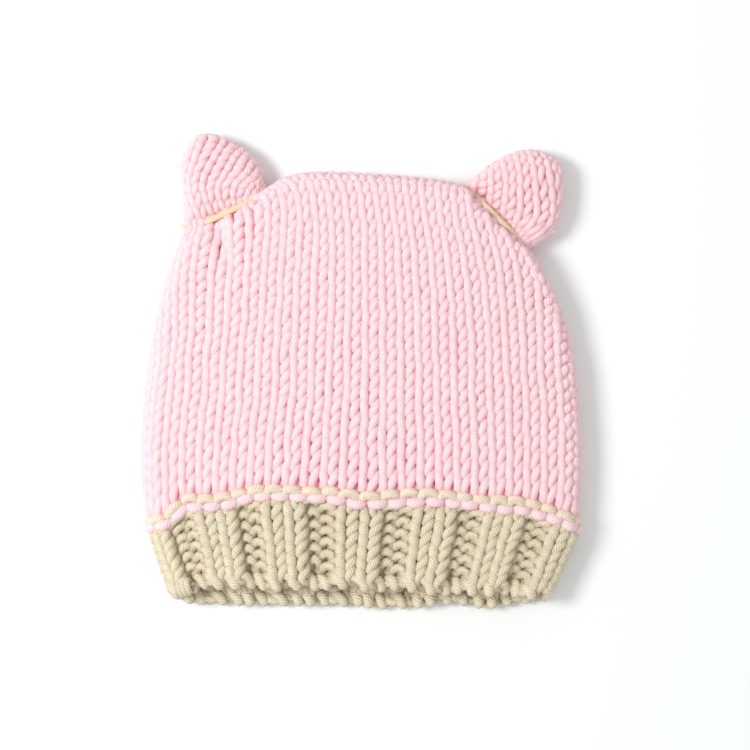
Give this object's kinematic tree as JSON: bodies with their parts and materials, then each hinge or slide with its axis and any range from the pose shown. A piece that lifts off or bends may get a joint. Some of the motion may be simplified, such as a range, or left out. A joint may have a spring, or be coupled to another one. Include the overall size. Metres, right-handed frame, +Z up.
{
  "type": "baby hat with ears",
  "caption": "Chunky knitted baby hat lying flat: hollow stockinette crown, ribbed brim, and puffed rounded ears tied off with yarn.",
  "frame": {"origin": "under the middle of the hat as it lies flat, on the surface it lies on", "axes": "+Z up from the surface, +Y from the opening towards the crown and its ears, +X to the right seen from above with the ears away"},
  "size_m": [0.1778, 0.189, 0.02],
  "materials": {
    "pink_knit": "soft matt chunky yarn",
    "beige_knit": "soft matt chunky yarn",
    "cream_yarn": "soft matt yarn"
  },
  "bodies": {
    "root": {"crown": "pink_knit", "brim": "beige_knit", "ear_left": "pink_knit", "ear_right": "pink_knit", "ear_tie_left": "cream_yarn", "ear_tie_right": "cream_yarn"}
  },
  "joints": []
}
